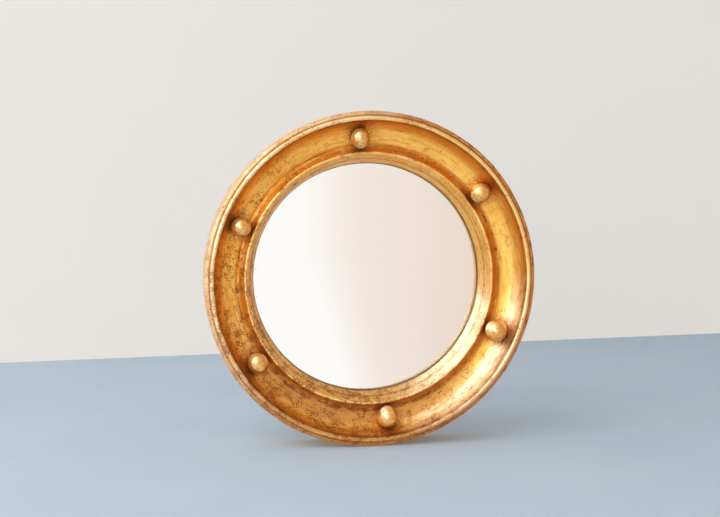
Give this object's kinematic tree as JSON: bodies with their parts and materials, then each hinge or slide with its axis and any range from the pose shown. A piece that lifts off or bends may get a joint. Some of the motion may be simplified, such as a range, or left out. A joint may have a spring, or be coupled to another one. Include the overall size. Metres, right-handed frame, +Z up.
{
  "type": "convex wall mirror",
  "caption": "Round convex wall mirror in a deep turned and gilded wooden rim with balls in its hollow, and a swinging ring hanger set into its back.",
  "frame": {"origin": "centre of the back rim, in the plane where it meets the wall", "axes": "+Z up, with the hanger at the top; +Y into the wall, so the mirror faces -Y; +X to the right seen from the front"},
  "size_m": [0.254, 0.0427, 0.254],
  "materials": {
    "gilded_wood": "gold leaf over red bole, rubbed at the edges",
    "rim_wood": "gilded outside, bare and stained at the back",
    "gilded_balls": "gold leaf, paler than the rim",
    "dowel_wood": "bare",
    "mirror_glass": "silvered on the back",
    "card": "grey-brown card",
    "hardboard": "smooth brown hardboard",
    "pin_steel": "dull steel",
    "hanger_brass": "tarnished brass"
  },
  "bodies": {
    "frame": {"front_moulding": "gilded_wood", "back_ring": "rim_wood", "slip_ring": "gilded_wood", "ball_1": "gilded_balls", "ball_2": "gilded_balls", "ball_3": "gilded_balls", "ball_4": "gilded_balls", "ball_5": "gilded_balls", "ball_6": "gilded_balls", "ball_dowels": "dowel_wood", "mirror_glass": "mirror_glass", "glass_packing_ring": "card", "backing_board": "hardboard", "backing_pins": "pin_steel", "hanger_plate": "hanger_brass", "hanger_screws": "hanger_brass"},
    "ring": {"hanger_ring": "hanger_brass"}
  },
  "joints": [
    {"name": "ring_swing", "type": "hinge", "parent": "frame", "child": "ring", "pos_m": [0, -0.0029, 0.1], "axis": [1, 0, 0], "range_deg": [-12, 180]}
  ]
}
